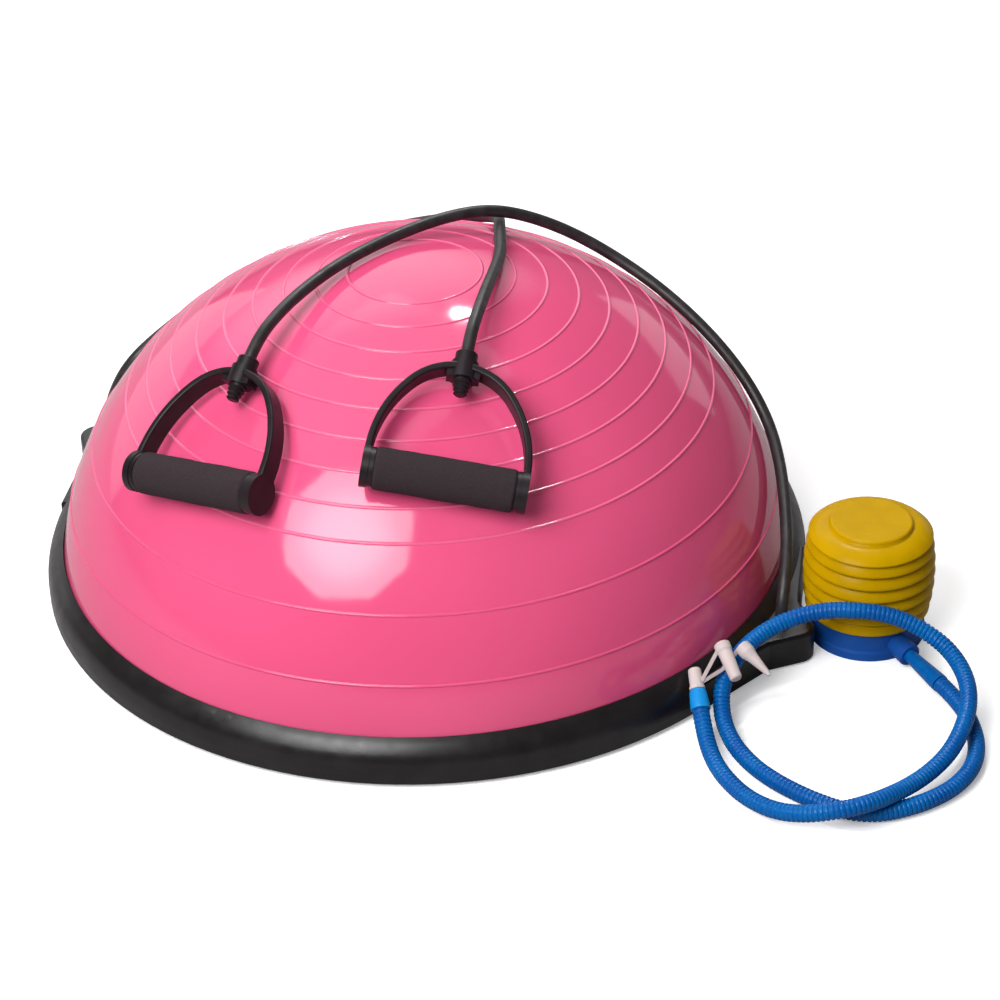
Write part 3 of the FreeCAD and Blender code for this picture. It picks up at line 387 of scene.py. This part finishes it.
def make_materials():
    """A material for each slot of the record, and a paler pink for the dome's upper ribs, which is a painted
    highlight.
    """
    return {
        "dome_pink": vinyl("pink_vinyl", (0.66, 0.073, 0.186), (0.71, 0.083, 0.204)),
        # Paler pink for the upper ribs: a painted highlight where the welded ribs catch the light.
        "dome_rib_painted_highlight": vinyl("pink_painted_rib_highlight", (0.72, 0.10, 0.225), (0.76, 0.115, 0.25)),
        "base_black": satin_black("base_black", (0.0055, 0.0042, 0.0048), (0.0105, 0.0085, 0.0092),
                                  grain=900, depth=0.08 * MM, shine=0.38, rough=(0.27, 0.38)),
        "handle_black": satin_black("handle_black", (0.008, 0.005, 0.0065), (0.014, 0.009, 0.0115)),
        "foot_rubber": satin_black("foot_rubber", (0.02, 0.02, 0.02), (0.035, 0.034, 0.033),
                                   grain=500, depth=0.2 * MM),
        "tube_rubber": rubber_tube(),
        "grip_foam": foam(),
        "core_plastic": plastic("core_plastic", (0.55, 0.55, 0.54), (0.62, 0.62, 0.6),
                                rough=(0.35, 0.5)),
        "pump_yellow": plastic("pump_yellow", (0.44, 0.255, 0.0), (0.48, 0.28, 0.0005),
                               rough=(0.2, 0.3), soft=0.05, shine=0.05),
        "pump_blue": plastic("pump_blue", (0.007, 0.066, 0.30), (0.009, 0.078, 0.34),
                             rough=(0.34, 0.46), soft=0.05),
        "hose_blue": plastic("hose_blue", (0.001, 0.085, 0.33), (0.001, 0.118, 0.385),
                             rough=(0.2, 0.32), soft=0.3, cloud=30),
        "cuff_blue": plastic("cuff_blue", (0.004, 0.20, 0.56), (0.008, 0.25, 0.62),
                             rough=(0.3, 0.42), soft=0.1),
        "nozzle_white": plastic("nozzle_white", (0.52, 0.45, 0.445), (0.58, 0.50, 0.49),
                                rough=(0.3, 0.42), soft=0.15),
        "screw_steel": steel("screw_steel", (0.42, 0.42, 0.42), (0.55, 0.55, 0.54)),
        "spring_steel": steel("spring_steel", (0.5, 0.5, 0.5), (0.6, 0.6, 0.6)),
    }


MATERIALS = make_materials()


def dress_cad_nodes():
    """Give every CAD node the material of its slot in the record."""
    slots = {entry["node"]: entry["material_slot"] for entry in frame["record"]["subparts"]}
    for node, piece in frame["nodes"].items():
        piece.data.materials.clear()
        piece.data.materials.append(MATERIALS[slots[node]])


# ---------------------------------------------------------------- cords

TUBE_ROUTES = {
    "left": [
        (0.25332, -0.14922, 0.014), (0.25332, -0.14922, 0.035), (0.257, -0.138, 0.052),
        (0.261, -0.116, 0.064), (0.264, -0.088, 0.073), (0.266, -0.044, 0.088),
        (0.262, -0.003, 0.104), (0.246, 0.023, 0.130), (0.220, 0.046, 0.158),
        (0.187, 0.070, 0.183), (0.152, 0.090, 0.203), (0.118, 0.096, 0.223),
        (0.085, 0.088, 0.242), (0.058, 0.080, 0.252), (0.030, 0.068, 0.255),
        (0.000, 0.050, 0.255), (-0.030, 0.025, 0.255), (-0.058, -0.002, 0.2535),
        (-0.081, -0.031, 0.251), (-0.098, -0.055, 0.247), (-0.11218, -0.07886, 0.24071),
        (-0.11849, -0.09004, 0.23116)],
    "right": [
        (-0.25332, 0.14922, 0.014), (-0.25332, 0.14922, 0.035), (-0.249, 0.145, 0.058),
        (-0.241, 0.138, 0.080), (-0.231, 0.135, 0.098), (-0.218, 0.139, 0.111),
        (-0.201, 0.151, 0.120), (-0.175, 0.172, 0.1305), (-0.140, 0.193, 0.142),
        (-0.097, 0.206, 0.154), (-0.053, 0.213, 0.163), (-0.014, 0.209, 0.174),
        (0.022, 0.193, 0.1875), (0.048, 0.170, 0.200), (0.062, 0.142, 0.214),
        (0.066, 0.112, 0.2275), (0.065, 0.080, 0.2385), (0.064, 0.047, 0.2465),
        (0.063, 0.014, 0.2505), (0.058, -0.016, 0.254), (0.051, -0.048, 0.2575),
        (0.0435, -0.080, 0.2575), (0.0366, -0.10679, 0.25328), (0.03334, -0.11998, 0.24482)],
}
TUBE_DIAMETER = 9 * MM
TUBE_STEP = 3 * MM

HOSE_ROUTE = [
    (0.35905, -0.2137, 0.011), (0.368, -0.2338, 0.011), (0.3735, -0.258, 0.0085),
    (0.3735, -0.281, 0.0066), (0.366, -0.304, 0.0064), (0.351, -0.323, 0.0064),
    (0.332, -0.336, 0.0064), (0.312, -0.344, 0.0064), (0.294, -0.348, 0.0064),
    (0.275, -0.345, 0.0064), (0.257, -0.334, 0.0064), (0.242, -0.3215, 0.0064),
    (0.228, -0.307, 0.0064), (0.216, -0.29, 0.0064), (0.207, -0.27, 0.0066), (0.202, -0.25, 0.0082),
    (0.2005, -0.233, 0.0145), (0.203, -0.22, 0.025), (0.2105, -0.208, 0.032),
    (0.2215, -0.1935, 0.0365), (0.236, -0.1815, 0.04), (0.252, -0.1745, 0.044),
    (0.269, -0.1735, 0.049), (0.286, -0.1775, 0.054), (0.303, -0.1825, 0.056),
    (0.32, -0.1845, 0.054), (0.336, -0.187, 0.049), (0.351, -0.193, 0.042),
    (0.3635, -0.2035, 0.036), (0.371, -0.219, 0.031), (0.3735, -0.238, 0.0275),
    (0.3705, -0.259, 0.0245), (0.362, -0.281, 0.022), (0.35, -0.3, 0.017), (0.334, -0.3155, 0.0135),
    (0.317, -0.33, 0.014), (0.299, -0.346, 0.019), (0.28, -0.3575, 0.022), (0.26, -0.3605, 0.0205),
    (0.2415, -0.355, 0.015), (0.224, -0.3435, 0.0095), (0.208, -0.325, 0.0066),
    (0.1975, -0.306, 0.0064), (0.1915, -0.289, 0.0064), (0.188, -0.272, 0.0082),
    (0.186, -0.257, 0.0135), (0.185, -0.244, 0.0215),
]
HOSE_DIAMETER = 12.2 * MM
HOSE_RIDGE_PITCH = 3.3 * MM
HOSE_RIDGE_DEPTH = 0.8 * MM
HOSE_RIDGE_STEPS = 8
# A larger power makes the grooves narrower.
HOSE_GROOVE_POWER = 1.5


def make_resistance_tube(side):
    """A stretch tube from its lug to its handle, swept along a fixed route."""
    line = evenly(spline_line(f"tube_{side}", TUBE_ROUTES[side]), TUBE_STEP)
    tube = sweep(f"resistance_tube_{side}_soft", line, lambda along: TUBE_DIAMETER / 2,
                 MATERIALS["tube_rubber"])
    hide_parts(f"resistance_tube_{side}")
    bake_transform(tube)


def make_hose():
    """A corrugated hose: round ridges with narrow grooves between them."""
    line = evenly(spline_line("pump_hose", HOSE_ROUTE), HOSE_RIDGE_PITCH / HOSE_RIDGE_STEPS)
    pitch = line_length(line) / (len(line) - 1) * HOSE_RIDGE_STEPS

    def radius_at(along):
        groove = max(0.0, math.cos(2 * math.pi * along / pitch)) ** HOSE_GROOVE_POWER
        return HOSE_DIAMETER / 2 - HOSE_RIDGE_DEPTH * groove

    hose = sweep("pump_hose_corrugated", line, radius_at, MATERIALS["hose_blue"],
                 sides=20, crease=80)
    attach(hose, "base")
    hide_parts("pump_hose")


# ---------------------------------------------------------------- dome

# The dome's outline is a wide arc over its crown, which runs on into a tighter one at its shoulder.
# Angles are from straight up, and a rib's place is its distance from the top along the outline.
CROWN_CENTRE, CROWN_RADIUS = -46 * MM, 296 * MM
CROWN_END = math.radians(43.7)
SHOULDER_CENTRE, SHOULDER_RADIUS = (37.3 * MM, -6.96 * MM), 242 * MM
SHOULDER_END = math.radians(80.1)
DOME_FOOT = (278.7 * MM, 11.4 * MM)
RIB_SPACING = 24.5 * MM
RIB_FIRST, RIB_COUNT = 49 * MM, 9
LOW_RIBS = (294 * MM, 343 * MM)
RIB_RADIUS, RIB_SUNK = 1.2 * MM, 0.4 * MM
# Where the outline has points across a rib, as shares of its radius to one side of its middle.
RIB_POINTS = (0.3, 0.6, 0.8, 0.94, 1.1, 1.5)
# Ribs above this height get the paler pink: a painted highlight on the upper ribs, which catch the light.
PAINTED_RIB_HIGHLIGHT_ABOVE = 130 * MM
SKIN = 2 * MM
SKIN_STEP = 5 * MM
RIB_CLEARANCE = 2.5 * MM
# The hidden inside of the skin follows every ninth point of its outside.
INSIDE_EVERY = 9


def dome_point(along, raised=0.0):
    """A point of the dome's outline at a distance from its top, raised off the skin."""
    crown = CROWN_END * CROWN_RADIUS
    if along <= crown:
        angle = along / CROWN_RADIUS
        reach = CROWN_RADIUS + raised
        return reach * math.sin(angle), CROWN_CENTRE + reach * math.cos(angle)
    angle = CROWN_END + (along - crown) / SHOULDER_RADIUS
    reach = SHOULDER_RADIUS + raised
    return SHOULDER_CENTRE[0] + reach * math.sin(angle), SHOULDER_CENTRE[1] + reach * math.cos(angle)


def rib_height(off):
    """How far a welded rib stands off the skin, a distance to one side of its middle."""
    if abs(off) >= RIB_RADIUS:
        return 0.0
    return max(0.0, math.sqrt(RIB_RADIUS ** 2 - off ** 2) - RIB_SUNK)


def dome_outline():
    """The outside of the dome, ribs included, from its top to its foot under the rim."""
    ribs = [RIB_FIRST + RIB_SPACING * index for index in range(RIB_COUNT)] + list(LOW_RIBS)
    end = CROWN_END * CROWN_RADIUS + (SHOULDER_END - CROWN_END) * SHOULDER_RADIUS
    stations = {end}
    for index in range(1, int(end / SKIN_STEP)):
        if all(abs(index * SKIN_STEP - rib) > RIB_CLEARANCE for rib in ribs):
            stations.add(index * SKIN_STEP)
    for rib in ribs:
        stations.add(rib)
        for share in RIB_POINTS:
            stations.update((rib - share * RIB_RADIUS, rib + share * RIB_RADIUS))
    outline = [(0.0, CROWN_CENTRE + CROWN_RADIUS)]
    for along in sorted(stations):
        nearest = min(ribs, key=lambda rib: abs(rib - along))
        outline.append(dome_point(along, rib_height(along - nearest)))
    last_radius, last_height = outline[-1]
    outline.append(((last_radius + DOME_FOOT[0]) / 2, (last_height + DOME_FOOT[1]) / 2))
    outline.append(DOME_FOOT)
    return outline


def standing_off(place):
    """How far a point stands off the dome's skin."""
    radius = math.hypot(place.x, place.y)
    reach = math.hypot(radius, place.z - CROWN_CENTRE)
    if math.atan2(radius, place.z - CROWN_CENTRE) <= CROWN_END:
        return reach - CROWN_RADIUS
    return math.hypot(radius - SHOULDER_CENTRE[0], place.z - SHOULDER_CENTRE[1]) - SHOULDER_RADIUS


def make_dome():
    """The inflated skin with its welded ribs; on its upper part the ribs are painted paler, a painted highlight
    where they catch the light.
    """
    outer = dome_outline()
    inner = [(0.0, outer[0][1] - SKIN)]
    inner += [(max(radius - SKIN, 0.0), height - SKIN) for radius, height in outer[1:-2:INSIDE_EVERY]]
    inner.append((DOME_FOOT[0] - SKIN, DOME_FOOT[1]))
    dome = lathe("dome_skin", outer + inner[::-1], MATERIALS["dome_pink"], segments=288, crease=60)
    dome.data.materials.append(MATERIALS["dome_rib_painted_highlight"])
    for face in dome.data.polygons:
        # Ribs high on the dome take the paler pink, a painted highlight.
        if standing_off(face.center) > RIB_SUNK / 2 and face.center.z > PAINTED_RIB_HIGHLIGHT_ABOVE:
            face.material_index = 1
    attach(dome, "base")
    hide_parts("dome_bladder")


# ---------------------------------------------------------------- grips

GRIP_HALF_LENGTH = 48.5 * MM
GRIP_RADIUS, GRIP_BORE = 15 * MM, 11 * MM
GRIP_EDGE = 2.6 * MM
GRIP_STEPS, GRIP_EDGE_STEPS = 64, 6
# The foam's unevenness: (height, waves per metre) of its swells and its dents. The surface is set in
# so that the swells stay inside the sleeve's size.
GRIP_SWELL, GRIP_DENT = (0.22 * MM, 90), (0.1 * MM, 400)
GRIP_INSET = 0.15 * MM


def make_grip(side):
    """A foam sleeve on the handle's bar, a little soft at its ends and never quite round."""
    joint = JOINTS[f"grip_{side}_spin"]
    place = stand(joint["pos_m"], joint["axis"])
    half = GRIP_HALF_LENGTH
    outline = [(GRIP_BORE, -half), (GRIP_RADIUS - GRIP_EDGE, -half)]
    outline += arc((GRIP_RADIUS - GRIP_EDGE, -half + GRIP_EDGE), GRIP_EDGE, -90, 0, GRIP_EDGE_STEPS)
    straight = 2 * (half - GRIP_EDGE)
    for step in range(1, GRIP_STEPS):
        outline.append((GRIP_RADIUS, -half + GRIP_EDGE + straight * step / GRIP_STEPS))
    outline += arc((GRIP_RADIUS - GRIP_EDGE, half - GRIP_EDGE), GRIP_EDGE, 0, 90, GRIP_EDGE_STEPS)
    outline += [(GRIP_BORE, half)]
    grip = lathe(f"foam_sleeve_{side}", outline, MATERIALS["grip_foam"], place,
                 segments=96, closed=True)
    centre = Vector(joint["pos_m"])
    along = Vector(joint["axis"]).normalized()
    for vertex in grip.data.vertices:
        arm = vertex.co - centre
        outward = arm - along * arm.dot(along)
        if outward.length > GRIP_RADIUS - GRIP_EDGE / 2:
            rise = -GRIP_INSET
            for height, waves in (GRIP_SWELL, GRIP_DENT):
                rise += height * noise.noise(vertex.co * waves)
            vertex.co += outward.normalized() * rise
    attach(grip, f"grip_{side}")
    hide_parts(f"handle_{side}_foam")


# ---------------------------------------------------------------- foot pump

BELLOWS_OUTER, BELLOWS_DEPTH, BELLOWS_TAPER = 48 * MM, 5.2 * MM, 3 * MM
BELLOWS_WALL = 1.6 * MM
BELLOWS_BULGES = 6
# One fold from its lower groove to its upper one: (share of its height, share of its depth).
FOLD = [(0.0, 0.0), (0.03, 0.5), (0.08, 0.8), (0.15, 0.95), (0.22, 1.0), (0.32, 0.97), (0.45, 0.88),
        (0.6, 0.74), (0.75, 0.58), (0.88, 0.41), (0.95, 0.26), (0.99, 0.1)]
SPRING_WIRE = 1.2 * MM
SPRING_TURNS = 6
SPRING_STEPS = 32


def make_bellows():
    """Six wide slanting folds with narrow grooves between them; they close up under the cap."""
    low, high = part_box("pump_bellows")
    middle = node_centre("pump_bellows")
    pitch = (high[2] - low[2]) / BELLOWS_BULGES
    outer = []
    for bulge in range(BELLOWS_BULGES):
        for height_share, out_share in FOLD:
            place = bulge + height_share
            barrel = BELLOWS_TAPER * (2 * place / BELLOWS_BULGES - 1) ** 2
            radius = BELLOWS_OUTER - barrel - BELLOWS_DEPTH * (1 - out_share)
            outer.append((radius, low[2] + pitch * place))
    outer.append((BELLOWS_OUTER - BELLOWS_TAPER - BELLOWS_DEPTH, high[2]))
    # The hidden inside follows every second point of the outside.
    inner = [(radius - BELLOWS_WALL, height) for radius, height in outer[::2]]
    place = Matrix.Translation((middle.x, middle.y, 0))
    bellows = lathe("pump_bellows_soft", outer + inner[::-1], MATERIALS["pump_yellow"], place,
                    closed=True, crease=75)
    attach(bellows, "base")
    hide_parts("pump_bellows")
    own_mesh(bellows)


def make_spring():
    """The return spring inside the bellows: a round wire wound up from the pump's base."""
    low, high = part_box("pump_spring")
    middle = node_centre("pump_spring")
    radius = (high[0] - low[0]) / 2 - SPRING_WIRE
    rise = high[2] - low[2] - 2 * SPRING_WIRE
    steps = SPRING_TURNS * SPRING_STEPS
    line = []
    for index in range(steps + 1):
        angle = 2 * math.pi * SPRING_TURNS * index / steps
        x = middle.x + radius * math.cos(angle)
        y = middle.y + radius * math.sin(angle)
        line.append(Vector((x, y, low[2] + SPRING_WIRE + rise * index / steps)))
    spring = sweep("pump_spring_soft", line, lambda along: SPRING_WIRE, MATERIALS["spring_steel"],
                   sides=12)
    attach(spring, "base")
    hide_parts("pump_spring")
    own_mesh(spring)


# ---------------------------------------------------------------- studio

# A softbox's corners are cut where the distances across it and up it, in shares of its sides, add up
# to this reach. Its brightness has fallen to its edge's where their squares add up to the fade.
OCTAGON_REACH = 0.72
OCTAGON_FADE = 0.2

ROOM_STRENGTH = 0.17
FLOOR_HALF = 12.0
# The floor's own light rises with the distance from the trainer, so that its far end isn't seen.
GLOW_DISTANCES = (0.7, 2.4)
GLOW_STRENGTHS = (0.3, 1.0)


def area_light(name, centre, target, size, power, roll=0.0, shape="RECTANGLE"):
    data = bpy.data.lights.new(name, "AREA")
    data.shape = shape
    data.size, data.size_y = size
    data.energy = power
    lamp = new_object(name, data)
    aim = (Vector(target) - Vector(centre)).to_track_quat("-Z", "Y").to_matrix().to_4x4()
    lamp.matrix_world = Matrix.Translation(centre) @ aim @ Matrix.Rotation(roll, 4, "Z")
    lamp.visible_camera = False
    return lamp


def soft_octagon(lamp, edge, core):
    """Turn a rectangular light into an eight-sided softbox, brighter towards its middle."""
    data = lamp.data
    data.use_nodes = True
    nodes, links = data.node_tree.nodes, data.node_tree.links
    place = nodes.new("ShaderNodeNewGeometry").outputs["Parametric"]
    split = nodes.new("ShaderNodeSeparateXYZ")
    links.new(place, split.inputs["Vector"])

    def math_node(operation, *values):
        node = nodes.new("ShaderNodeMath")
        node.operation = operation
        for socket, value in zip(node.inputs, values):
            if isinstance(value, float):
                socket.default_value = value
            else:
                links.new(value, socket)
        return node.outputs["Value"]

    def from_middle(output):
        return math_node("ABSOLUTE", math_node("SUBTRACT", split.outputs[output], 0.5))

    across, upward = from_middle("X"), from_middle("Y")
    inside = math_node("LESS_THAN", math_node("ADD", across, upward), OCTAGON_REACH)
    square = math_node("ADD", math_node("POWER", across, 2.0), math_node("POWER", upward, 2.0))
    fade = nodes.new("ShaderNodeMapRange")
    fade.interpolation_type = "SMOOTHSTEP"
    fade.inputs["From Max"].default_value = OCTAGON_FADE
    fade.inputs["To Min"].default_value = core
    fade.inputs["To Max"].default_value = edge
    links.new(square, fade.inputs["Value"])
    strength = math_node("MULTIPLY", inside, fade.outputs["Result"])
    links.new(strength, nodes["Emission"].inputs["Strength"])


def seen_or_not(nodes, links, seen, reflected, surface):
    """One shader for what is looked at directly, another for what lights and reflects."""
    ray = nodes.new("ShaderNodeLightPath")
    pick = nodes.new("ShaderNodeMixShader")
    links.new(ray.outputs["Is Camera Ray"], pick.inputs["Fac"])
    links.new(reflected, pick.inputs[1])
    links.new(seen, pick.inputs[2])
    links.new(pick.outputs["Shader"], surface)


def make_world():
    """A white backdrop for the eye, and a soft grey room for the reflections."""
    world = bpy.data.worlds.new("studio")
    bpy.context.scene.world = world
    world.use_nodes = True
    nodes, links = world.node_tree.nodes, world.node_tree.links
    room = nodes["Background"]
    room.inputs["Color"].default_value = (0.9, 0.9, 0.92, 1)
    room.inputs["Strength"].default_value = ROOM_STRENGTH
    backdrop = nodes.new("ShaderNodeBackground")
    backdrop.inputs["Color"].default_value = (1, 1, 1, 1)
    backdrop.inputs["Strength"].default_value = 1.0
    seen_or_not(nodes, links, backdrop.outputs["Background"], room.outputs["Background"],
                nodes["World Output"].inputs["Surface"])


def make_floor():
    """A white floor for the eye that sends only a little light back up at the trainer."""
    floor = Recipe("pale_floor", Roughness=0.8, Specular_IOR_Level=0.0, Emission_Color=(1, 1, 1, 1))
    floor.colour(floor.noise(scale=2, detail=2), (0.86, 0.86, 0.86), (0.9, 0.9, 0.9))
    distance = floor.nodes.new("ShaderNodeVectorMath")
    distance.operation = "LENGTH"
    floor.links.new(floor.place, distance.inputs[0])
    glow = floor.spread(distance.outputs["Value"], *GLOW_DISTANCES, *GLOW_STRENGTHS)
    floor.links.new(glow, floor.shader.inputs["Emission Strength"])
    dim = floor.nodes.new("ShaderNodeBsdfDiffuse")
    dim.inputs["Color"].default_value = (0.42, 0.41, 0.41, 1)
    seen_or_not(floor.nodes, floor.links, floor.shader.outputs["BSDF"], dim.outputs["BSDF"],
                floor.nodes["Material Output"].inputs["Surface"])
    half = FLOOR_HALF
    corners = [(-half, -half, 0), (half, -half, 0), (half, half, 0), (-half, half, 0)]
    plane = mesh_piece("floor", corners, [[0, 1, 2, 3]], floor.material)
    plane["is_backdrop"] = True


def make_lights():
    """A softbox in front, a wide one and two cards behind, a small spot and a lamp overhead."""
    low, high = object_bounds()
    middle = (Vector(low) + Vector(high)) / 2
    softbox = area_light("softbox", centre=(-0.675, -1.072, 1.339), target=(-0.053, -0.21, 0.155),
                         size=(1.15, 1.28), power=42, roll=math.radians(18))
    soft_octagon(softbox, edge=0.85, core=1.45)
    backdrop = area_light("backdrop", centre=(-0.4, 2.0, 1.55), target=(0, 0, 0.2),
                          size=(3.8, 2.6), power=46)
    soft_octagon(backdrop, edge=0.0, core=1.25)
    area_light("card_left", centre=(-1.5, 1.6, 0.35), target=(-0.25, 0.1, 0.1),
               size=(1.6, 0.8), power=3.4)
    area_light("card_right", centre=(1.5, 1.7, 0.5), target=(0.25, 0.1, 0.1),
               size=(1.0, 0.5), power=1.4)
    area_light("spot", centre=(0.35, 1.15, 1.80), target=(0.032, -0.06, 0.242),
               size=(0.16, 0.16), power=12, shape="DISK")
    area_light("overhead", centre=(-0.5, 0.5, 2.6), target=middle, size=(2.8, 2.2), power=20)


def make_studio():
    make_world()
    make_floor()
    make_lights()
    view = bpy.context.scene.view_settings
    view.view_transform = "Standard"
    view.look = "None"
    view.exposure = 0
    view.gamma = 1


make_camera()
dress_cad_nodes()
for side in SIDES:
    make_resistance_tube(side)
make_hose()
make_dome()
for side in SIDES:
    make_grip(side)
make_bellows()
make_spring()
make_studio()
